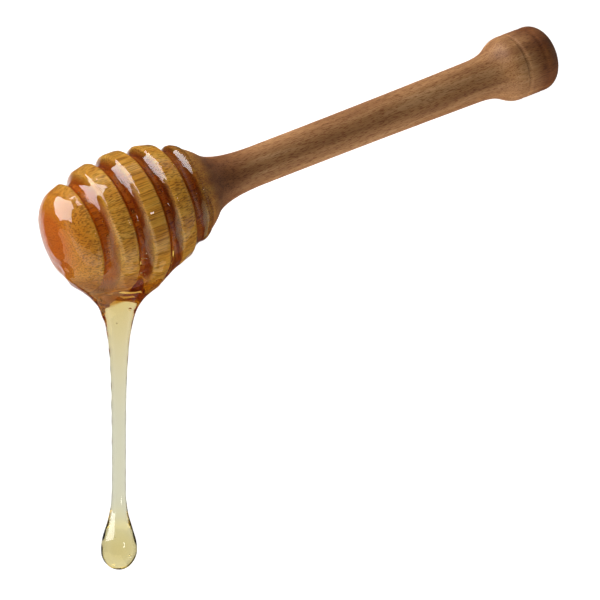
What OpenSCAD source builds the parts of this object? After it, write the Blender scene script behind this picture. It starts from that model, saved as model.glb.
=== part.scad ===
// Turned wooden honey dipper, coated with honey, with one long drip ending in a drop.
// It lies on three points: the second ring of the head, the knob and the drop.
// The wood is turned around one axis; places along it are measured from the tip of the nose.

/* [Head] */
// Radius of the head where it is widest
head_r = 16.7; // [16:0.1:20.5]
// Distance from the nose to the widest place
head_mid = 23; // [20:0.1:25]
// Half length of the ellipse that the head follows
head_half = 27.1; // [23:0.1:30]
// Radius of the shallow domed face of the nose
nose_r = 11.1; // [9:0.1:12]
// Softness of the nose's edge
nose_soft = 1; // [0.4:0.1:1.4]

/* [Grooves] */
// Number of grooves
groove_count = 4; // [2:1:4]
// Distance from the nose to the middle of the first groove
groove_first = 9.9; // [8:0.1:10.5]
// Distance from one groove to the next
groove_pitch = 9; // [7.5:0.1:9.2]
// Width of a groove
groove_w = 4.2; // [3.4:0.1:5.2]
// Radius of the core under the grooves
core_r = 10.2; // [8:0.1:10.4]
// Softness of the rims
rim_soft = 0.45; // [0.2:0.05:0.6]
// Softness of the groove's corners
floor_soft = 1.4; // [0.6:0.1:1.6]

/* [Handle] */
// Length of the whole dipper
dipper_len = 160; // [145:1:210]
// Radius where the shoulder turns into the neck
shoulder_r = 8.9; // [7.5:0.1:10]
// Distance from the nose to the end of the neck
neck_end = 63; // [58:1:78]
// Radius of the handle at its thinnest
handle_r = 5.45; // [4.4:0.05:6.6]
// Radius of the handle where the knob begins
handle_end_r = 6.03; // [5:0.05:7.3]

/* [Knob] */
// Radius of the knob
knob_r = 9.5; // [8:0.1:11.5]
// Length of the knob with its flare
knob_len = 27; // [24:0.5:33]
// Length of the flare
flare_len = 13.9; // [10:0.1:16]
// Radius of the knob's rounded corner
knob_corner = 3.2; // [2:0.1:4]
// Radius of the knob's domed end
knob_dome = 24; // [18:0.5:40]
// Distance from the end of the knob to the deep scored line
score_at = 12.3; // [11:0.1:12.6]
// Depth of the deep scored line
score_depth = 0.4; // [0.1:0.05:0.8]
// Distance from the end of the knob to the faint scored line
faint_at = 6.2; // [4.5:0.1:9]
// Depth of the faint scored line
faint_depth = 0.12; // [0.05:0.01:0.3]
// Width of a scored line
score_w = 0.9; // [0.5:0.1:1.2]

/* [Honey coat] */
// Thickness of the honey on the rings
film = 0.35; // [0.25:0.05:0.8]
// Thickness of the honey on the nose
nose_film = 1; // [0.6:0.1:1.6]
// How far the honey in a groove sinks below the rings
groove_sag = 1.3; // [0.4:0.1:2]
// Distance from the nose to the honey's edge on the shoulder
coat_end = 41.5; // [40.5:0.1:43]

/* [Drip] */
// Distance from the nose to where the drip leaves the axis
drip_at = 19.7; // [17:0.1:24]
// Angle between the drip and the nose
drip_lean = 69.4; // [60:0.1:85]
// Length of the drip from the axis to the tip of the drop
drip_len = 92.4; // [75:0.1:115]
// Radius of the thread
thread_r = 1.84; // [1.5:0.02:2.3]
// Growth of the funnel's radius at the head, in its long sweep
funnel_sweep = 5.85; // [4.5:0.05:7.2]
// Length over which the long sweep fades
sweep_len = 8; // [6:0.1:10]
// Growth of the funnel's radius at the head, in its short lip
funnel_lip = 1.65; // [1:0.05:2.2]
// Length over which the lip fades
lip_len = 1.8; // [1.2:0.1:2.4]
// Radius of the drop
drop_r = 4.75; // [3.6:0.05:5.8]
// Distance from the drop's widest place to its tip
drop_below = 5.4; // [4:0.1:6.5]
// Distance over which the thread swells into the drop
drop_above = 17; // [12:0.1:22]

/* [Rest] */
// Depth of the small flats that the part rests on
flat_depth = 0.12; // [0.05:0.01:0.2]

/* [Hidden] */
$fn = 96;
groove_power = 1.3;  // shape of the sunken honey between two rings
swell_power = 1.4;   // shape of the drop's shoulder
lip_overlap = 0.6;   // width over which the coat thins out at its edge
big = 400;           // size of the block that trims the flats

// Curves through control points, each point being [radius, place along the axis].
function soft(p0, p1, p2, n) = [for (i = [0:n]) let (t = i / n)
    p0 * (1 - t) * (1 - t) + p1 * 2 * t * (1 - t) + p2 * t * t];
function sweep(p0, p1, p2, p3, n) = [for (i = [0:n]) let (t = i / n, u = 1 - t)
    p0 * u * u * u + p1 * 3 * t * u * u + p2 * 3 * t * t * u + p3 * t * t * t];
// Zero of a function that changes sign once between two values.
function zero(f, low, high, n = 40) = let (m = (low + high) / 2)
    n == 0 ? m : (f(m) > 0) == (f(low) > 0) ? zero(f, m, high, n - 1) : zero(f, low, m, n - 1);

// Ellipse of the head.
function head_at(s) = head_r * sqrt(max(0, 1 - pow((s - head_mid) / head_half, 2)));
function head_away(r) = head_half * sqrt(1 - pow(r / head_r, 2));
nose_edge = head_mid - head_away(nose_r);
nose_dome = (nose_r * nose_r + nose_edge * nose_edge) / (2 * nose_edge);
shoulder_s = head_mid + head_away(shoulder_r);
function groove_from(i) = groove_first + groove_pitch * i - groove_w / 2;
function groove_to(i) = groove_from(i) + groove_w;
last_groove = groove_count - 1;

// Outline of the wood.
nose_turn = asin((nose_r - nose_soft) / nose_dome);
nose_face = [for (i = [0:6]) let (a = nose_turn * i / 6) [nose_dome * sin(a), nose_dome * (1 - cos(a))]];
nose_land_s = nose_edge + nose_soft;
nose_corner = soft(nose_face[6], [nose_r, nose_edge], [head_at(nose_land_s), nose_land_s], 4);
function land(from, to, n) = [for (i = [1:n - 1]) let (s = from + (to - from) * i / n) [head_at(s), s]];
function rim(s, way) = soft([head_at(s - way * rim_soft), s - way * rim_soft], [head_at(s), s],
                            [head_at(s) - rim_soft, s], 3);
function floor_corner(s, way) = soft([core_r + floor_soft, s], [core_r, s],
                                     [core_r, s + way * floor_soft], 4);
function back(points) = [for (i = [len(points) - 1:-1:0]) points[i]];
function groove(i) = concat(rim(groove_from(i), 1), floor_corner(groove_from(i), 1),
                            back(floor_corner(groove_to(i), -1)), back(rim(groove_to(i), -1)));
function land_start(i) = i == 0 ? nose_land_s : groove_to(i - 1) + rim_soft;
lands_and_grooves = [for (i = [0:last_groove])
    each concat(land(land_start(i), groove_from(i) - rim_soft, 4), groove(i))];
shoulder = land(land_start(groove_count), shoulder_s, 4);
shoulder_slope = head_r * (shoulder_s - head_mid) / (head_half * head_half) / (shoulder_r / head_r);
neck = sweep([shoulder_r, shoulder_s], [shoulder_r - 2.1 * shoulder_slope, shoulder_s + 2.1],
             [handle_r, neck_end - 10], [handle_r, neck_end], 12);
knob_s = dipper_len - knob_len;
handle = [for (i = [1:9]) let (t = i / 10)
    [handle_r + (handle_end_r - handle_r) * t * t, neck_end + (knob_s - neck_end) * t]];
flare = sweep([handle_end_r, knob_s], [handle_end_r, knob_s + 0.72 * flare_len],
              [knob_r, knob_s + 0.61 * flare_len], [knob_r, knob_s + flare_len], 12);
function score(at, depth) = let (s = dipper_len - at)
    soft([knob_r, s - score_w / 2], [knob_r - 2 * depth, s], [knob_r, s + score_w / 2], 4);
corner_r = knob_r - knob_corner;
corner_turn = asin(corner_r / (knob_dome - knob_corner));
corner_s = dipper_len - knob_dome + (knob_dome - knob_corner) * cos(corner_turn);
knob_edge = [for (i = [0:6]) let (a = (90 - corner_turn) * i / 6)
    [corner_r + knob_corner * cos(a), corner_s + knob_corner * sin(a)]];
knob_face = [for (i = [5:-1:0]) let (a = corner_turn * i / 6)
    [knob_dome * sin(a), dipper_len - knob_dome * (1 - cos(a))]];
knob = concat(flare, score(score_at, score_depth), score(faint_at, faint_depth), knob_edge, knob_face);
wood = concat(nose_face, nose_corner, lands_and_grooves, shoulder, neck, handle, knob);

// Outline of the wood and honey together, from the nose to the honey's edge.
coat_dome = nose_dome + nose_film;
coat_face = [for (i = [0:6]) let (a = nose_turn * i / 6)
    [coat_dome * sin(a), nose_dome - coat_dome * cos(a)]];
function thick(s) = let (t = min(1, max(0, (s - nose_edge) / (groove_from(0) - nose_edge))))
    nose_film + (film - nose_film) * t;
function coat_at(s) = head_at(s) + thick(s);
coat_corner = soft(coat_face[6], [nose_r + nose_film, nose_edge - nose_film / 2],
                   [coat_at(nose_land_s), nose_land_s], 4);
function coat_land(from, to, n) = [for (i = [1:n - 1]) let (s = from + (to - from) * i / n) [coat_at(s), s]];
function coat_groove(i) = [for (k = [0:8])
    let (s = groove_from(i) - rim_soft + (groove_w + 2 * rim_soft) * k / 8)
    [coat_at(s) - (groove_sag + film) * pow(sin(180 * k / 8), groove_power), s]];
coat_lands = [for (i = [0:last_groove])
    each concat(coat_land(land_start(i), groove_from(i) - rim_soft, 4), coat_groove(i))];
coat_lip = soft([coat_at(coat_end - lip_overlap), coat_end - lip_overlap], [coat_at(coat_end), coat_end],
                [head_at(coat_end) - film, coat_end], 4);
coat = concat(coat_face, coat_corner, coat_lands, coat_lip, [[0, coat_end]]);

// Outline of the drip around its own axis, measured from the dipper's axis.
funnel_s = head_r + film + 0.65;
collar_s = head_r - 4;
function funnel_at(t) = thread_r + funnel_sweep * exp((head_r + 1.3 - t) / sweep_len)
    + funnel_lip * exp((head_r + 1.3 - t) / lip_len);
drop_s = drip_len - drop_below;
swell_s = drop_s - drop_above;
function drop_at(u) = thread_r + (drop_r - thread_r) * pow(sin(90 * pow(u, swell_power)), 2);
funnel = [for (i = [0:16]) let (t = funnel_s + (swell_s - funnel_s) * pow(i / 16, 1.7)) [funnel_at(t), t]];
swell = [for (i = [1:12]) [funnel_at(swell_s + drop_above * i / 12) - thread_r + drop_at(i / 12),
                           swell_s + drop_above * i / 12]];
drop_tip = [for (i = [1:8]) [swell[11][0] * cos(90 * i / 8), drop_s + drop_below * sin(90 * i / 8)]];
drip = concat([[0, collar_s], [funnel[0][0], collar_s]], funnel, swell, drop_tip);

// Pitch that puts the coat and the knob on the floor together, then the roll that lowers the drop.
function lowest(outline, pitch) = min([for (p = outline) -p[1] * sin(pitch) - p[0] * cos(pitch)]);
rest_pitch = zero(function (a) lowest(coat, a) - lowest(knob, a), 0, 10);
floor_z = lowest(coat, rest_pitch);
function drip_fall(roll) = cos(drip_lean) * sin(rest_pitch) - sin(drip_lean) * cos(rest_pitch) * sin(roll);
function drip_low(roll) = let (fall = drip_fall(roll)) -drip_at * sin(rest_pitch)
    + min([for (p = drip) p[1] * fall - p[0] * sqrt(1 - fall * fall)]);
rest_roll = zero(function (a) drip_low(a) - floor_z, 0, 25);

// Reach of the whole part in a direction given in the dipper's own axes.
function reach(outline, along) = max([for (p = outline) p[1] * along + p[0] * sqrt(1 - along * along)]);
function reach_all(way) = let (fall = -cos(drip_lean) * way[0] - sin(drip_lean) * way[1])
    max(reach(wood, way[0]), reach(coat, way[0]), drip_at * way[0] + reach(drip, fall));
way_x = [cos(rest_pitch), sin(rest_pitch) * sin(rest_roll), sin(rest_pitch) * cos(rest_roll)];
way_y = [0, cos(rest_roll), -sin(rest_roll)];
mid_x = (reach_all(way_x) - reach_all(-way_x)) / 2;
mid_y = (reach_all(way_y) - reach_all(-way_y)) / 2;

module turned(outline) {
    rotate([0, 90, 0]) rotate_extrude() polygon(outline);
}

module dripping() {
    translate([drip_at, 0, 0]) rotate([0, 0, 180 + drip_lean]) turned(drip);
}

// Lays a solid down as the part rests and trims it flat at the floor.
module rested() {
    difference() {
        translate([-mid_x, -mid_y, -floor_z - flat_depth]) rotate([rest_roll, rest_pitch, 0]) children();
        translate([-big / 2, -big / 2, -big]) cube(big);
    }
}

module dipper() {
    color("peru") rested() turned(wood);
}

module honey() {
    color("goldenrod") rested() difference() {
        union() {
            turned(coat);
            dripping();
        }
        turned(wood);
    }
}

dipper();
honey();
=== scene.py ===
import math
import bmesh
import bpy
import numpy as np
from mathutils import Matrix, Vector


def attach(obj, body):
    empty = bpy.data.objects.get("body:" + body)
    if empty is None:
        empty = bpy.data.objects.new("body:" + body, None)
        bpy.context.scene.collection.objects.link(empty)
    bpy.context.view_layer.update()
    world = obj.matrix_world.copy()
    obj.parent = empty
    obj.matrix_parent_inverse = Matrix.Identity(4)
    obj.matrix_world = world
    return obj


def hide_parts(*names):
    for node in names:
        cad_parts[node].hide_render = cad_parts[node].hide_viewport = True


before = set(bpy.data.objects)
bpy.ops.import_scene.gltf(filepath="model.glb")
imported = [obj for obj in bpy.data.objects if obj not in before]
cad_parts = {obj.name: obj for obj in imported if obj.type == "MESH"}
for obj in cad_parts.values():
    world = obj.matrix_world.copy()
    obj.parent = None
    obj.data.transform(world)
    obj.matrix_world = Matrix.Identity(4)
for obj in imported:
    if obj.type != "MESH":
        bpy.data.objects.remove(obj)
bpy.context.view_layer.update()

# A turned wooden honey dipper, coated with honey that drips into a drop. Shapes are worked out
# in millimetres along the dipper's own axis, X from the nose to the knob and the drip towards
# -Y, and then laid where the frame's solids lie.
mm = 0.001
dripLean = math.radians(69.4)    # between the drip and the way the nose points


def getPoints(mesh):
    points = np.zeros(len(mesh.vertices) * 3)
    mesh.vertices.foreach_get("co", points)
    return points.reshape(-1, 3)


def setPoints(mesh, points):
    mesh.vertices.foreach_set("co", points.reshape(-1))
    mesh.update()


def turningAxis(mesh):
    # the long principal axis of a solid, through its centre of volume, from its tetrahedra
    points = getPoints(mesh)
    mesh.calc_loop_triangles()
    corners = np.zeros(len(mesh.loop_triangles) * 3, dtype=int)
    mesh.loop_triangles.foreach_get("vertices", corners)
    a, b, c = (points[corners.reshape(-1, 3)[:, i]] for i in range(3))
    volume = np.einsum("ij,ij->i", a, np.cross(b, c)) / 6
    centre = ((a + b + c) / 4 * volume[:, None]).sum(0) / volume.sum()
    spread = np.zeros((3, 3))
    for p in (a, b, c, a + b + c):
        spread += np.einsum("n,ni,nj->ij", volume / 20, p, p)
    spread -= volume.sum() * np.outer(centre, centre)
    along = np.linalg.eigh(spread)[1][:, 2]
    return centre, along if along[0] > 0 else -along


axisCentre, alongAxis = turningAxis(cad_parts["dipper"].data)
woodPlaces = (getPoints(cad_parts["dipper"].data) - axisCentre) @ alongAxis
nosePole = axisCentre + alongAxis * woodPlaces.min()
dipperLength = (woodPlaces.max() - woodPlaces.min()) / mm

# the drip leans towards the nose, so the tip of its drop is the farthest point along the drip
fromNose = getPoints(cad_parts["honey"].data) - nosePole
sideways = fromNose - np.outer(fromNose @ alongAxis, alongAxis)
tip = np.argmax(np.linalg.norm(sideways, axis=1))
for _ in range(2):
    acrossAxis = -sideways[tip] / np.linalg.norm(sideways[tip])
    tip = np.argmax(fromNose @ (-math.cos(dripLean) * alongAxis - math.sin(dripLean) * acrossAxis))
tipReach = np.linalg.norm(sideways[tip]) / mm
tipPlace = fromNose[tip] @ alongAxis / mm
overAxis = np.cross(alongAxis, acrossAxis)

turn = np.column_stack([alongAxis, acrossAxis, overAxis])
layDown = Matrix.Translation(Vector(nosePole)) @ Matrix(turn.tolist()).to_4x4() @ Matrix.Scale(mm, 4)
floorNormal = turn.T @ np.array([0, 0, 1])              # the world's up, in the dipper's axes
floorPlace = -(nosePole[2]) / mm                        # the floor, along that normal from the nose
print("dipper found, %.1f mm long, drop %.1f mm from its axis" % (dipperLength, tipReach))


def keptAboveFloor(points):
    height = points @ floorNormal - floorPlace
    return points - np.outer(np.minimum(height, 0), floorNormal)


def softCorner(p0, p1, p2, steps):
    t = np.linspace(0, 1, steps + 1)[:, None]
    return np.array(p0) * (1 - t) ** 2 + np.array(p1) * 2 * t * (1 - t) + np.array(p2) * t ** 2


def sweepCurve(p0, p1, p2, p3, steps):
    t = np.linspace(0, 1, steps + 1)[:, None]
    u = 1 - t
    leaving = np.array(p0) * u ** 3 + np.array(p1) * 3 * t * u ** 2
    return leaving + np.array(p2) * 3 * t * t * u + np.array(p3) * t ** 3


def closer(outline, step):
    # adds points so that no stretch of an outline is longer than a step, and drops doubled ones
    shortest = 1e-5
    points = [outline[0]]
    for start, end in zip(outline[:-1], outline[1:]):
        count = max(1, math.ceil(np.hypot(*(end - start)) / step))
        points += [start + (end - start) * k / count for k in range(1, count + 1)]
    later = [b for a, b in zip(points[:-1], points[1:]) if np.hypot(*(b - a)) > shortest]
    return np.array([points[0]] + later)


def smoothStep(x, low, high):
    t = np.clip((x - low) / (high - low), 0, 1)
    return t * t * (3 - 2 * t)


def ripple(points, lengths, seed):
    # smooth random bumps, mostly between -1 and 1, made of a few plane waves of each length
    wavesEach = 6
    draw = np.random.default_rng(seed)
    total = np.zeros(len(points))
    for length in lengths:
        for _ in range(wavesEach):
            way = draw.normal(size=3)
            way *= 2 * math.pi / length / np.linalg.norm(way)
            total += np.sin(points @ way + draw.uniform(0, 2 * math.pi))
    return total / math.sqrt(wavesEach * len(lengths) / 2) / 2


def meshFrom(bm, name):
    mesh = bpy.data.meshes.new(name)
    bm.to_mesh(mesh)
    bm.free()
    return mesh


def turnedMesh(name, outline, steps):
    # spins an outline of [place, radius] points around X
    bm = bmesh.new()
    verts = [bm.verts.new((p[0], p[1], 0)) for p in outline]
    for a, b in zip(verts[:-1], verts[1:]):
        bm.edges.new((a, b))
    bmesh.ops.spin(bm, geom=bm.verts[:] + bm.edges[:], cent=(0, 0, 0), axis=(1, 0, 0), dvec=(0, 0, 0),
                   angle=2 * math.pi, steps=steps, use_merge=True, use_duplicate=False)
    bmesh.ops.remove_doubles(bm, verts=bm.verts[:], dist=1e-4)
    bmesh.ops.recalc_face_normals(bm, faces=bm.faces[:])
    return meshFrom(bm, name)


def addMarks(mesh, marks):
    # attributes that the materials read
    for name, values in marks.items():
        mesh.attributes.new(name, "FLOAT", "POINT").data.foreach_set("value", values.astype(np.float32))


def addPiece(name, mesh, material):
    piece = bpy.data.objects.new(name, mesh)
    bpy.context.scene.collection.objects.link(piece)
    mesh.materials.clear()
    mesh.materials.append(material)
    mesh.shade_smooth()
    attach(piece, "root")
    return piece


class Nodes:
    # short calls to build the nodes of a material or of the world
    def __init__(self, owner, output="ShaderNodeOutputMaterial"):
        self.owner = owner
        owner.use_nodes = True
        self.tree = owner.node_tree
        self.tree.nodes.clear()
        self.output = self.add(output)

    def add(self, kind, inputs=None, **settings):
        node = self.tree.nodes.new(kind)
        for key, value in settings.items():
            setattr(node, key, value)
        for key, value in (inputs or {}).items():
            if isinstance(value, bpy.types.NodeSocket):
                self.tree.links.new(value, node.inputs[key])
            else:
                node.inputs[key].default_value = value
        return node

    def math(self, operation, a, b=0.0, c=0.0):
        return self.add("ShaderNodeMath", {0: a, 1: b, 2: c}, operation=operation).outputs[0]

    def ramp(self, value, stops):
        node = self.add("ShaderNodeValToRGB", {"Fac": value})
        ramp = node.color_ramp
        while len(ramp.elements) < len(stops):
            ramp.elements.new(0.5)
        for element, (place, colour) in zip(ramp.elements, stops):
            element.position = place
            element.color = (*colour, 1) if isinstance(colour, tuple) else (colour, colour, colour, 1)
        return node.outputs["Color"]

    def mix(self, factor, a, b, blend="MIX"):
        node = self.add("ShaderNodeMix", data_type="RGBA", blend_type=blend)
        for socket, value in ((node.inputs[0], factor), (node.inputs[6], a), (node.inputs[7], b)):
            if isinstance(value, bpy.types.NodeSocket):
                self.tree.links.new(value, socket)
            else:
                socket.default_value = (*value, 1) if isinstance(value, tuple) else value
        return node.outputs[2]

    def mark(self, name):
        return self.add("ShaderNodeAttribute", attribute_name=name).outputs["Fac"]

    def show(self, surface, volume=None):
        self.tree.links.new(surface.outputs[0], self.output.inputs["Surface"])
        if volume:
            self.tree.links.new(volume.outputs[0], self.output.inputs["Volume"])
        return self.owner


wood = {
    # the head is an egg around headMiddle, cut off by the domed nose and by the shoulder
    "headRadius": 16.7, "headMiddle": 23.0, "headHalf": 27.1, "noseRadius": 11.1, "noseSoft": 1.0,
    "shoulderRadius": 8.9, "grooves": 4, "firstGroove": 9.9, "groovePitch": 9.0, "grooveWidth": 4.2,
    "coreRadius": 10.2, "rimSoft": 0.45, "floorSoft": 1.4,
    # pulls say how far the two ends of a sweeping curve keep their direction
    "neckEnd": 63.0, "neckPulls": (2.1, 10.0), "handleRadius": 5.45, "handleEndRadius": 6.03,
    "knobRadius": 9.5, "knobLength": 27.0, "knobCorner": 4.2, "knobDome": 24.0,
    "flareLength": 13.9, "flarePulls": (0.72, 0.39),
    "scores": [(12.3, 0.28), (6.2, 0.1)], "scoreWidth": 1.5,       # place from the knob's end, depth
    "ringSpacing": 0.7, "aroundSteps": 176, "turningMarks": 0.012,
    # stretches along the axis over which the honey's soaking, the nose's tint and the painted shade change
    "soakEnd": (41.0, 46.0), "soakWave": 0.6, "noseTint": 7.0, "grooveDepth": (0.3, 2.8), "headEnd": 40,
    "neckPaintedShade": (34, 40), "neckPaintedShadeEnd": (48, 66), "neckStrength": 0.75,
    "knobPaintedShade": (13, 6), "knobStrength": 0.95, "groovePaintedShade": (12, 36), "grooveStrength": 0.5,
    # the figure's dark, middle and light, dry and soaked, and the tints laid over them
    "dry": ((0.33, 0.145, 0.05), (0.47, 0.23, 0.085), (0.62, 0.355, 0.16)),
    "soaked": ((0.78, 0.35, 0.025), (0.92, 0.49, 0.055), (0.98, 0.61, 0.11)),
    "noseColour": (0.8, 0.31, 0.01), "streakColour": (0.5, 0.36, 0.24), "poreColour": (0.42, 0.25, 0.14),
    # the deep and stain colours are painted shade: the grooves' floors, the neck and the knob's end
    "lineColour": (0.4, 0.25, 0.1), "fleckColour": (0.75, 0.68, 0.62), "grooveShadeColour": (0.95, 0.54, 0.12),
    "paintedShadeColour": (0.45, 0.28, 0.14),
}


def headAt(s):
    inside = np.maximum(0, 1 - ((s - wood["headMiddle"]) / wood["headHalf"]) ** 2)
    return wood["headRadius"] * np.sqrt(inside)


def headAway(r):
    # how far from the head's middle its radius is r
    return wood["headHalf"] * math.sqrt(1 - (r / wood["headRadius"]) ** 2)


noseEdge = wood["headMiddle"] - headAway(wood["noseRadius"])
noseDome = (wood["noseRadius"] ** 2 + noseEdge ** 2) / (2 * noseEdge)
shoulderPlace = wood["headMiddle"] + headAway(wood["shoulderRadius"])
grooveMiddles = [wood["firstGroove"] + wood["groovePitch"] * i for i in range(wood["grooves"])]


def grooveOutline(middle):
    core, floorSoft, rim = wood["coreRadius"], wood["floorSoft"], wood["rimSoft"]
    parts = []
    for way in (1, -1):
        edge = middle - way * wood["grooveWidth"] / 2
        lip = softCorner((edge - way * rim, headAt(edge - way * rim)), (edge, headAt(edge)),
                         (edge, headAt(edge) - rim), steps=4)
        foot = softCorner((edge, core + floorSoft), (edge, core), (edge + way * floorSoft, core), steps=4)
        parts += [lip, foot] if way > 0 else [foot[::-1], lip[::-1]]
    return np.vstack(parts)


def headOutline():
    noseTurn = math.asin((wood["noseRadius"] - wood["noseSoft"]) / noseDome)
    turns = np.linspace(0, noseTurn, 14)
    noseFace = np.column_stack([noseDome * (1 - np.cos(turns)), noseDome * np.sin(turns)])
    landStart = noseEdge + wood["noseSoft"]
    noseRim = (noseEdge, wood["noseRadius"])
    parts = [noseFace, softCorner(noseFace[-1], noseRim, (landStart, headAt(landStart)), steps=5)]
    reach = wood["grooveWidth"] / 2 + wood["rimSoft"]
    for middle in grooveMiddles:
        land = np.linspace(landStart, middle - reach, 7)[1:-1]
        parts += [np.column_stack([land, headAt(land)]), grooveOutline(middle)]
        landStart = middle + reach
    shoulder = np.linspace(landStart, shoulderPlace, 7)[1:-1]
    return parts + [np.column_stack([shoulder, headAt(shoulder)])]


def handleOutline():
    shoulderRadius, handleRadius = wood["shoulderRadius"], wood["handleRadius"]
    fall = wood["headRadius"] ** 2 * (shoulderPlace - wood["headMiddle"]) / wood["headHalf"] ** 2
    slope = fall / shoulderRadius
    leaving, arriving = wood["neckPulls"]
    neck = sweepCurve((shoulderPlace, shoulderRadius),
                      (shoulderPlace + leaving, shoulderRadius - leaving * slope),
                      (wood["neckEnd"] - arriving, handleRadius), (wood["neckEnd"], handleRadius), steps=24)
    t = np.linspace(0, 1, 90)[1:-1]
    places = wood["neckEnd"] + (dipperLength - wood["knobLength"] - wood["neckEnd"]) * t
    return [neck, np.column_stack([places, handleRadius + (wood["handleEndRadius"] - handleRadius) * t * t])]


def knobOutline():
    start, radius, flare = dipperLength - wood["knobLength"], wood["knobRadius"], wood["flareLength"]
    leaving, arriving = wood["flarePulls"]
    parts = [sweepCurve((start, wood["handleEndRadius"]), (start + leaving * flare, wood["handleEndRadius"]),
                        (start + (1 - arriving) * flare, radius), (start + flare, radius), steps=20)]
    half = wood["scoreWidth"] / 2
    for distance, depth in wood["scores"]:
        s = dipperLength - distance
        parts.append(softCorner((s - half, radius), (s, radius - 2 * depth), (s + half, radius), steps=6))
    corner, dome = wood["knobCorner"], wood["knobDome"]
    cornerTurn = math.asin((radius - corner) / (dome - corner))
    cornerPlace = dipperLength - dome + (dome - corner) * math.cos(cornerTurn)
    a = np.linspace(0, math.pi / 2 - cornerTurn, 9)
    parts.append(np.column_stack([cornerPlace + corner * np.sin(a), radius - corner + corner * np.cos(a)]))
    a = np.linspace(cornerTurn, 0, 10)[1:]
    parts.append(np.column_stack([dipperLength - dome * (1 - np.cos(a)), dome * np.sin(a)]))
    return parts


def woodOutline():
    outline = np.vstack(headOutline() + handleOutline() + knobOutline())
    outline[0, 1] = outline[-1, 1] = 0
    return outline


def woodMarks(points, radius):
    # from 0 to 1: soaked with honey, deep in a groove, near the nose, and darkened by painted shade
    s = points[:, 0]
    soaked = 1 - smoothStep(s + wood["soakWave"] * ripple(points, (3.0, 7.0), seed=9), *wood["soakEnd"])
    # painted shade: the depth mark darkens the grooves' floors the deeper they lie
    shallow, deepest = wood["grooveDepth"]
    depth = np.clip((headAt(s) - radius - shallow) / (deepest - shallow), 0, 1) * (s < wood["headEnd"])
    nose = 1 - smoothStep(s, noseEdge, noseEdge + wood["noseTint"])
    # painted shade: darker on the neck past the shoulder, towards the knob's end, and in the grooves further
    # from the nose
    shadeWobble = ripple(points, (4, 9), seed=3)
    neck = smoothStep(s, *wood["neckPaintedShade"]) * (1 - smoothStep(s + shadeWobble, *wood["neckPaintedShadeEnd"]))
    knobStart, knobFull = (dipperLength - away for away in wood["knobPaintedShade"])
    knob = smoothStep(s + 0.5 * shadeWobble, knobStart, knobFull)
    grooves = depth * smoothStep(s, *wood["groovePaintedShade"])
    paintedShade = np.maximum(wood["neckStrength"] * neck, wood["knobStrength"] * knob)
    paintedShade = np.maximum(paintedShade, wood["grooveStrength"] * grooves)
    return {"soak": soaked, "depth": depth, "nose": nose, "shade": paintedShade}


def woodMaterial():
    n = Nodes(bpy.data.materials.new("turnedBeech"))
    place = n.add("ShaderNodeTexCoord").outputs["Object"]
    toNose, toAxes, _ = layDown.inverted().decompose()
    grain = n.add("ShaderNodeMapping", {"Vector": place, "Location": toNose, "Scale": (1 / mm,) * 3,
                                        "Rotation": toAxes.to_euler("XYZ")}).outputs["Vector"]

    def grainNoise(perMm, detail, rough=0.5, distortion=0.0):
        # perMm: how fine the noise is along the grain and the two ways across it
        vector = n.add("ShaderNodeMapping", {"Vector": grain, "Scale": perMm}).outputs["Vector"]
        return n.add("ShaderNodeTexNoise", {"Vector": vector, "Scale": 1.0, "Detail": detail,
                                            "Roughness": rough, "Distortion": distortion}).outputs["Fac"]

    pores = n.ramp(grainNoise((0.6, 4.2, 4.2), 1.5), [(0.53, 0.0), (0.62, 1.0)])
    lines = n.ramp(grainNoise((0.08, 3.2, 3.2), 2.0), [(0.5, 0.0), (0.6, 1.0)])
    flecks = n.ramp(grainNoise((0.9, 6.5, 6.5), 1.0), [(0.58, 0.0), (0.7, 1.0)])
    figure = grainNoise((0.03, 0.35, 0.22), 4.0, 0.6, 0.4)
    streaks = grainNoise((0.08, 2.2, 2.2), 3.0, 0.6)
    dryColour, soakedColour = (n.ramp(figure, list(zip((0.3, 0.5, 0.7), wood[name])))
                               for name in ("dry", "soaked"))
    soaked, nose = n.mark("soak"), n.mark("nose")
    soakedColour = n.mix(n.math("MULTIPLY", nose, 0.8), soakedColour, wood["noseColour"])
    colour = n.mix(soaked, dryColour, soakedColour)
    # the soaked wood shows fewer pores, and the nose none
    spared = n.math("MULTIPLY", n.math("MULTIPLY_ADD", soaked, -0.4, 0.7), n.math("SUBTRACT", 1.0, nose))
    # the depth and shade marks lay painted shade over the wood's own colour
    for factor, tint in (
            (n.math("MULTIPLY", streaks, 0.45), "streakColour"),
            (n.math("MULTIPLY", pores, spared), "poreColour"),
            (n.math("MULTIPLY", n.math("MULTIPLY", lines, soaked), 0.75), "lineColour"),
            (n.math("MULTIPLY", flecks, spared), "fleckColour"),
            (n.math("MULTIPLY", n.mark("depth"), 0.9), "grooveShadeColour"),
            (n.mark("shade"), "paintedShadeColour")):
        colour = n.mix(factor, colour, wood[tint], "MULTIPLY")
    height = n.math("MULTIPLY_ADD", pores, -0.6, streaks)
    bump = n.add("ShaderNodeBump", {"Height": height, "Strength": 0.35, "Distance": 0.06 * mm})
    return n.show(n.add("ShaderNodeBsdfPrincipled", {
        "Base Color": colour, "Roughness": 0.52, "Specular IOR Level": 0.25,
        "Normal": bump.outputs["Normal"]}))


def makeWood():
    mesh = turnedMesh("turnedWood", closer(woodOutline(), wood["ringSpacing"]), wood["aroundSteps"])
    points = getPoints(mesh)
    radius = np.hypot(points[:, 1], points[:, 2])
    # faint turning marks, longer around the wood than along it
    marks = wood["turningMarks"] * ripple(points * (1, 0.2, 0.2), (2.4, 5.0), seed=4)
    points[:, 1:] *= (1 + marks / np.maximum(radius, 1))[:, None]
    addMarks(mesh, woodMarks(points, radius))
    setPoints(mesh, keptAboveFloor(points))
    mesh.transform(layDown)
    piece = addPiece("turnedWood", mesh, woodMaterial())
    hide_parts("dipper")
    print("wood turned,", len(mesh.polygons), "faces")


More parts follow.
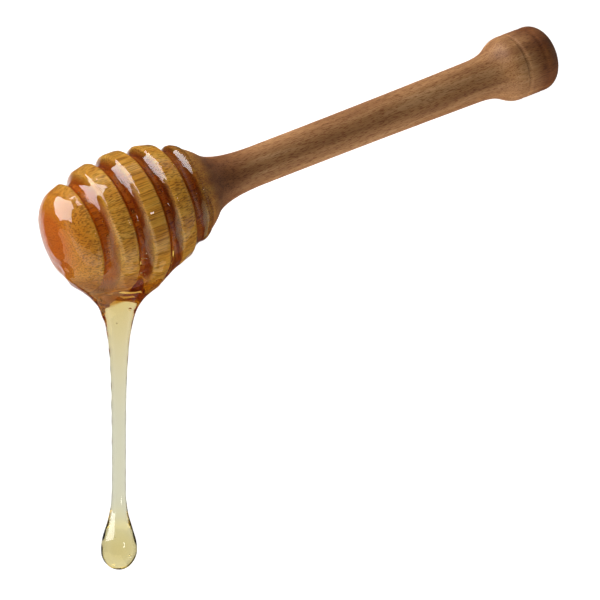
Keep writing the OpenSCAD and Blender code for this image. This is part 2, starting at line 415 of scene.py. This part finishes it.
honey = {
    # the coat over the head, and its wavy end past the last groove
    "film": 0.36, "noseFilm": 1.0, "upperFilm": 0.1, "coatReach": 46, "edgeBlend": 0.5, "coatBlend": 1.2,
    "coatEnd": 41.2, "endWave": 0.7, "endWaves": 3, "endTurn": 1,
    # how it dips into the grooves, and fills them where it runs down to the drip
    "sag": 1.6, "flatness": 3.0, "lipSoft": 0.7, "lipPower": 1.6,
    "fillFrom": 0.55, "fillTo": 0.95, "fill": 0.95, "lastFill": 0.5,
    "belly": 1.5, "bellyPlace": 25.0, "bellyLength": 8.5, "bellyTurn": 32.0,
    # the funnel under the head: a long sweep and a short lip, flatter towards the viewer
    "sweep": 5.85, "sweepLength": 8.0, "lip": 3.9, "lipLength": 2.2, "funnelGap": 1.6,
    "rootDepth": 7.0, "rootShift": 0.3, "rootSoft": 0.8, "shift": 0.7, "shiftLength": 4.0,
    "funnelFlat": 0.62, "flatFrom": 2, "flatTo": 14, "blend": 3.6,
    # the thread and the drop
    "thread": 1.84, "dropRadius": 4.75, "dropBelow": 5.4, "dropAbove": 17.0, "swellPower": 1.4,
    # waves in the surface, larger where the honey gathers
    "voxel": 0.33, "wobble": 0.05, "wobbleLengths": (3.2, 5.5, 11.0), "gathered": 8.0,
    "gatherPlace": 18, "gatherLength": 16, "gatherTurn": 50, "gatherEnd": (17, 26),
    # each change of colour along the drip: where it starts and ends, and its share of the ramp
    # the amber band and the slanted start of the pale part are painted shade for the dark head seen through
    # the funnel
    "amber": (14.5, 18.5, 0.5), "pale": (21.3, 22.1, 0.2), "paleSlant": 0.43,
    "clear": (25, 60, 0.3), "creamy": (76, 88, -0.14),
    "colours": [(0.0, (0.97, 0.96, 0.94)), (0.5, (0.44, 0.26, 0.07)), (0.7, (0.66, 0.62, 0.52)),
                (1.0, (0.61, 0.63, 0.63))],
    "depthColour": (0.99, 0.84, 0.08, 1), "depthDensity": 100.0,
}
dripWay = np.array([-math.cos(dripLean), -math.sin(dripLean), 0])
sideWay = np.array([math.sin(dripLean), -math.cos(dripLean), 0])
dripRoot = np.array([tipPlace + tipReach * math.cos(dripLean) / math.sin(dripLean), 0, 0])
dripLength = tipReach / math.sin(dripLean)
dropPlace = dripLength - honey["dropBelow"]
swellPlace = dropPlace - honey["dropAbove"]
funnelPlace = wood["headRadius"] + honey["funnelGap"]


def dripAt(t):
    # radius of the drip, by the distance along it from the dipper's axis
    shift, soft = honey["rootShift"], honey["rootSoft"]
    away = shift - soft * np.logaddexp(0, (t - funnelPlace + shift) / soft)
    sweep = honey["sweep"] * np.exp(away / honey["sweepLength"])
    lip = honey["lip"] * np.exp(away / honey["lipLength"])
    swell = np.clip((t - swellPlace) / honey["dropAbove"], 0, 1) ** honey["swellPower"]
    swelling = (honey["dropRadius"] - honey["thread"]) * np.sin(math.pi / 2 * swell) ** 2
    return honey["thread"] + (sweep + lip) + swelling


def coatAt(s, down, up):
    # radius of the honey's surface; down and up say how far a point faces the drip or the sky
    nose = 1 - smoothStep(s, noseEdge, grooveMiddles[0] - wood["grooveWidth"] / 2)
    thick = honey["film"] + (honey["noseFilm"] - honey["film"]) * nose + honey["upperFilm"] * up
    radius = headAt(np.clip(s, -honey["noseFilm"], honey["coatReach"])) + thick
    half = wood["grooveWidth"] / 2 + honey["lipSoft"]
    filled = smoothStep(down, honey["fillFrom"], honey["fillTo"])
    for middle in grooveMiddles:
        near = np.clip(1 - np.abs(s - middle) / half, 0, 1) ** honey["lipPower"]
        dip = (honey["sag"] + thick) * (1 - (1 - near) ** honey["flatness"])
        fill = honey["lastFill"] if middle == grooveMiddles[-1] else honey["fill"]
        radius = radius - dip * (1 - filled * fill)
    turned = np.degrees(np.arccos(np.clip(down, -1, 1)))
    along = (s - honey["bellyPlace"]) / honey["bellyLength"]
    return radius + honey["belly"] * np.exp(-along ** 2 - (turned / honey["bellyTurn"]) ** 2)


def smoothUnion(a, b, k):
    h = np.clip(0.5 + 0.5 * (b - a) / k, 0, 1)
    return b * (1 - h) + a * h - k * h * (1 - h)


def coatField(p):
    s, radius = p[:, 0], np.hypot(p[:, 1], p[:, 2])
    down = -p[:, 1] / np.maximum(radius, 1e-6)
    side = radius - coatAt(s, down, np.clip(-down, 0, 1))
    nose = np.hypot(s - noseDome, radius) - noseDome - honey["noseFilm"]
    wave = np.sin(honey["endWaves"] * np.arctan2(p[:, 2], p[:, 1]) + honey["endTurn"])
    end = s - honey["coatEnd"] - honey["endWave"] * wave
    return -smoothUnion(-side, smoothUnion(-nose, -end, honey["edgeBlend"]), honey["coatBlend"])


def dripField(p):
    t = (p - dripRoot) @ dripWay
    off = p - dripRoot - np.outer(t, dripWay)
    shift = honey["shift"] * np.exp(-np.maximum(t - funnelPlace, 0) / honey["shiftLength"])
    off += np.outer(shift, sideWay)
    flattening = 1 - smoothStep(t, funnelPlace - honey["flatFrom"], funnelPlace + honey["flatTo"])
    flat = 1 - (1 - honey["funnelFlat"]) * flattening
    across = np.sqrt((off[:, 0] ** 2 + off[:, 1] ** 2) + (off[:, 2] / flat) ** 2)
    below = np.maximum(t - dropPlace, 0)
    drop = (np.hypot(across / honey["dropRadius"], below / honey["dropBelow"]) - 1) * honey["dropRadius"]
    drip = np.where(t > dropPlace, drop, across - dripAt(t))
    return np.maximum(drip, wood["headRadius"] - honey["rootDepth"] - t)


def honeyField(p):
    # negative inside the honey, zero on its surface, roughly in millimetres
    return smoothUnion(coatField(p), dripField(p), honey["blend"])


def wobbleAt(p):
    # the surface waves a little, and more where the honey gathers under the head
    turned = np.degrees(np.arctan2(np.abs(p[:, 2]), -p[:, 1]))
    along = (p[:, 0] - honey["gatherPlace"]) / honey["gatherLength"]
    gathered = np.exp(-along ** 2 - (turned / honey["gatherTurn"]) ** 2)
    gathered *= 1 - smoothStep(np.hypot(p[:, 1], p[:, 2]), *honey["gatherEnd"])
    return honey["wobble"] * ripple(p, honey["wobbleLengths"], seed=21) * (1 + honey["gathered"] * gathered)


def ontoSurface(points, rounds):
    # moves points along the field's slope until they lie on the honey's surface
    probe, gentlest, longest = 0.02, 0.2, 0.4
    for _ in range(rounds):
        value = honeyField(points) - wobbleAt(points)
        slope = np.column_stack([honeyField(points + probe * e) - honeyField(points - probe * e)
                                 for e in np.eye(3)]) / (2 * probe)
        size = np.maximum(np.einsum("ij,ij->i", slope, slope), gentlest)
        move = slope * (value / size)[:, None]
        length = np.linalg.norm(move, axis=1)
        points = points - move * np.minimum(1, longest / np.maximum(length, 1e-9))[:, None]
    return points


def relax(mesh, rounds):
    for _ in range(rounds):
        bm = bmesh.new()
        bm.from_mesh(mesh)
        bmesh.ops.smooth_vert(bm, verts=bm.verts[:], factor=0.5,
                              use_axis_x=True, use_axis_y=True, use_axis_z=True)
        bm.to_mesh(mesh)
        bm.free()
        setPoints(mesh, ontoSurface(getPoints(mesh), rounds=2))


def honeyMaterial():
    n = Nodes(bpy.data.materials.new("clearHoney"))
    place = n.add("ShaderNodeTexCoord").outputs["Object"]
    swirl = n.add("ShaderNodeTexNoise", {"Vector": place, "Scale": 0.45 / mm, "Detail": 1.0}).outputs["Fac"]
    bump = n.add("ShaderNodeBump", {"Height": swirl, "Strength": 0.4, "Distance": 0.12 * mm})
    shader = n.add("ShaderNodeBsdfPrincipled", {
        "Base Color": n.ramp(n.mark("hanging"), honey["colours"]), "Roughness": 0.015, "IOR": 1.49,
        "Transmission Weight": 1.0, "Normal": bump.outputs["Normal"]})
    return n.show(shader, n.add("ShaderNodeVolumeAbsorption", {"Color": honey["depthColour"],
                                                               "Density": honey["depthDensity"]}))


def roughCoat():
    s = np.linspace(-honey["noseFilm"] + 0.01, honey["coatEnd"], 120)
    dome = np.sqrt(np.maximum(0, (noseDome + honey["noseFilm"]) ** 2 - (s - noseDome) ** 2))
    coat = np.column_stack([s, np.minimum(dome, coatAt(s, np.zeros_like(s), np.zeros_like(s)))])
    outline = np.vstack([[(-honey["noseFilm"], 0)], coat, [(honey["coatEnd"], 0)]])
    return turnedMesh("coat", outline, steps=96)


def roughDrip():
    t = np.linspace(wood["headRadius"] - honey["rootDepth"] + 1, dropPlace, 90)
    a = np.linspace(0, math.pi / 2, 12)[1:]
    belowDrop = [dropPlace + honey["dropBelow"] * np.sin(a), dripAt(dropPlace) * np.cos(a)]
    outline = np.vstack([[(t[0], 0)], np.column_stack([t, dripAt(t)]), np.column_stack(belowDrop)])
    outline[-1, 1] = 0
    mesh = turnedMesh("drip", outline, steps=48)
    mesh.transform(Matrix.Translation(Vector(dripRoot)) @ Matrix.Rotation(math.pi + dripLean, 4, "Z"))
    return mesh


def honeyMarks(points):
    # 0 on the head, 0.5 in the amber funnel, 0.7 where it turns pale and 1 in the clear thread
    # the amber and the slanted pale edge are painted shade for the dark head seen through the honey
    t, side = (points - dripRoot) @ dripWay, (points - dripRoot) @ sideWay
    hanging = np.zeros(len(points))
    for name, place in (("amber", t), ("pale", t + honey["paleSlant"] * side), ("clear", t), ("creamy", t)):
        start, end, share = honey[name]
        hanging += share * smoothStep(place, start, end)
    return {"hanging": hanging}


def makeHoney():
    bm = bmesh.new()
    bm.from_mesh(roughCoat())
    bm.from_mesh(roughDrip())
    draft = bpy.data.objects.new("draft", meshFrom(bm, "draft"))
    bpy.context.scene.collection.objects.link(draft)
    remesh = draft.modifiers.new("join", "REMESH")
    remesh.mode, remesh.voxel_size = "VOXEL", honey["voxel"]
    bpy.context.view_layer.update()
    mesh = bpy.data.meshes.new_from_object(draft.evaluated_get(bpy.context.evaluated_depsgraph_get()))
    bpy.data.objects.remove(draft)
    setPoints(mesh, ontoSurface(getPoints(mesh), rounds=6))
    relax(mesh, rounds=3)
    points = keptAboveFloor(ontoSurface(getPoints(mesh), rounds=4))
    setPoints(mesh, points)
    addMarks(mesh, honeyMarks(points))
    mesh.transform(layDown)
    piece = addPiece("honeyCoat", mesh, honeyMaterial())
    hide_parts("honey")
    print("honey poured,", len(mesh.polygons), "faces")


bubbles = {
    "inGrooves": 7, "size": (0.2, 0.4), "seed": 5,
    # around: degrees from the viewer's side towards the sky; under: depth below the dipped surface
    "around": (-75, 90), "acrossGroove": (0.3, 0.7), "under": (0.35, 0.7),
    # in the drip: place along it from the axis, across it to the right, towards the viewer, radius
    "inDrip": [(23.6, 2.1, 1.2, 0.45), (88.5, 1.8, 1.5, 0.45), (84.0, -1.2, 1.0, 0.2),
               (27.5, -1.0, 1.2, 0.22)],
}


def bubblePlaces():
    draw = np.random.default_rng(bubbles["seed"])
    places = []
    for middle in grooveMiddles:
        for turned in draw.uniform(*bubbles["around"], bubbles["inGrooves"]):
            s = middle + wood["grooveWidth"] * (draw.uniform(*bubbles["acrossGroove"]) - 0.5)
            r = headAt(s) - honey["sag"] - draw.uniform(*bubbles["under"])
            a = math.radians(turned)
            places.append((s, r * math.sin(a), r * math.cos(a), draw.uniform(*bubbles["size"])))
    for t, across, over, radius in bubbles["inDrip"]:
        p = dripRoot + dripWay * t + sideWay * across + np.array([0, 0, over])
        places.append((*p, radius))
    return places


def makeBubbles():
    places = bubblePlaces()
    bm = bmesh.new()
    for x, y, z, radius in places:
        bmesh.ops.create_icosphere(bm, subdivisions=3, radius=radius, matrix=Matrix.Translation((x, y, z)))
    mesh = meshFrom(bm, "bubbles")
    mesh.transform(layDown)
    n = Nodes(bpy.data.materials.new("airBubble"))
    shader = n.add("ShaderNodeBsdfPrincipled", {"Base Color": (1, 1, 1, 1), "Roughness": 0.0, "IOR": 0.67,
                                                "Transmission Weight": 1.0})
    addPiece("bubbles", mesh, n.show(shader))
    print("bubbles made,", len(places))


makeWood()
makeHoney()
makeBubbles()

# directions and the camera's place in the dipper's own axes
camera = {
    "forward": (0.4051, -0.1523, -0.9015), "down": (-0.3518, -0.9361, 0.0), "place": (-203.6, 61.1, 590.4),
    "lens": 144.0, "sensor": 36.0, "clip": (0.01, 20.0),
}
forward = Vector(turn @ np.array(camera["forward"])).normalized()
down = Vector(turn @ np.array(camera["down"]))
down = (down - forward * down.dot(forward)).normalized()
right = down.cross(forward)


def makeCamera():
    view = bpy.data.cameras.new("view")
    view.lens, view.sensor_width = camera["lens"], camera["sensor"]
    view.clip_start, view.clip_end = camera["clip"]
    viewer = bpy.data.objects.new("viewer", view)
    axes = Matrix((right, -down, -forward)).transposed().to_4x4()
    viewer.matrix_world = Matrix.Translation(layDown @ Vector(camera["place"])) @ axes
    bpy.context.scene.collection.objects.link(viewer)
    bpy.context.scene.camera = viewer
    print("camera placed")


studio = {
    "floorSize": 3.0, "floorGlow": 0.98, "floorColour": 0.4, "floorGap": 0.02, "exposure": 0.0,
    "litPlace": 12,        # the lights face this place on the dipper's axis
    # the backdrop's brightness by height, from 0 straight down over 0.5 at the horizon to 1 straight up
    "backdrop": [(0.025, 0.9), (0.06, 0.04), (0.4999, 0.04), (0.5, 0.58), (0.59, 0.58), (0.78, 0.05)],
}
softBoxes = {
    # ways are (right, up, towards the viewer) from the dipper; each box faces it unless faced otherwise
    "key": {"way": (-0.52, 0.8, 0.3), "distance": 0.4, "size": (0.36, 0.32), "light": 6.2,
            "seen": ("diffuse", "transmission")},
    "left": {"way": (-0.74, 0.49, 0.3), "distance": 0.5, "size": (0.48, 0.56), "light": 8.0,
             "seen": ("glossy",)},
    "top": {"way": (-0.26, 0.89, 0.36), "distance": 0.6, "size": (0.08, 0.3), "light": 10.0,
            "seen": ("glossy",)},
    "spark": {"way": (0.6, 0.0, 0.75), "distance": 0.6, "size": (0.09, 0.07), "light": 12.0,
              "seen": ("glossy",)},
    "fill": {"way": (-0.62, -0.62, 0.3), "distance": 0.6, "size": (0.5, 0.5), "light": 2.2,
             "seen": ("diffuse", "transmission")},
    "under": {"way": (0.3, -0.9, 0.2), "distance": 0.6, "size": (0.8, 0.4), "light": 2.7,
              "seen": ("diffuse", "transmission")},
    "table": {"way": (-0.75, -0.43, 0.13), "distance": 0.874, "size": (1.9, 0.94), "light": 1.35,
              "seen": ("glossy",), "face": (0, 1, 0), "colour": (1.0, 0.86, 0.45)},
}


def makeFloor():
    bm = bmesh.new()
    bmesh.ops.create_circle(bm, cap_ends=True, segments=64, radius=studio["floorSize"])
    mesh = meshFrom(bm, "floor")
    n = Nodes(bpy.data.materials.new("paleFloor"))
    glow = n.add("ShaderNodeEmission", {"Color": (1, 1, 1, 1), "Strength": studio["floorGlow"]})
    paint = n.add("ShaderNodeBsdfDiffuse", {"Color": (studio["floorColour"],) * 3 + (1,)})
    mesh.materials.append(n.show(n.add("ShaderNodeAddShader", {0: glow.outputs[0], 1: paint.outputs[0]})))
    floor = bpy.data.objects.new("floor", mesh)
    floor.location.z = -studio["floorGap"] * mm
    bpy.context.scene.collection.objects.link(floor)
    floor.visible_glossy = False


def makeLights():
    axes = np.column_stack([right, -down, -forward])
    centre = layDown @ Vector((studio["litPlace"], 0, 0))
    for name, box in softBoxes.items():
        way = Vector(axes @ np.array(box["way"])).normalized()
        light = bpy.data.lights.new(name, "AREA")
        light.shape = "RECTANGLE"
        light.size, light.size_y = box["size"]
        light.color = box.get("colour", (1, 1, 1))
        light.energy = box["light"] * math.pi * light.size * light.size_y
        lamp = bpy.data.objects.new(name, light)
        lamp.location = centre + way * box["distance"]
        if "face" in box:
            face = Vector(axes @ -np.array(box["face"]))
            faced = Matrix((right, -forward, face)).transposed().to_4x4()
            lamp.matrix_world = Matrix.Translation(lamp.location) @ faced
        else:
            lamp.rotation_euler = way.to_track_quat("Z", "Y").to_euler()
        for kind in ("diffuse", "glossy", "transmission"):
            setattr(lamp, "visible_" + kind, kind in box["seen"])
        lamp.visible_camera = False
        bpy.context.scene.collection.objects.link(lamp)


def makeBackdrop():
    world = bpy.data.worlds.new("studio")
    bpy.context.scene.world = world
    n = Nodes(world, "ShaderNodeOutputWorld")
    way = n.add("ShaderNodeTexCoord").outputs["Generated"]
    up = n.add("ShaderNodeSeparateXYZ", {0: way}).outputs["Z"]
    n.show(n.add("ShaderNodeBackground", {
        "Color": n.ramp(n.math("MULTIPLY_ADD", up, 0.5, 0.5), studio["backdrop"])}))


def setLightPaths():
    # enough bounces for light to cross the honey, the bubbles and the back of the drip
    scene = bpy.context.scene
    scene.view_settings.view_transform = "Standard"
    scene.view_settings.exposure = studio["exposure"]
    scene.cycles.max_bounces = 16
    scene.cycles.transmission_bounces = 12
    scene.cycles.diffuse_bounces = 5
    scene.cycles.glossy_bounces = 6


makeCamera()
makeFloor()
makeLights()
makeBackdrop()
setLightPaths()
print("studio set,", len(softBoxes), "soft boxes")
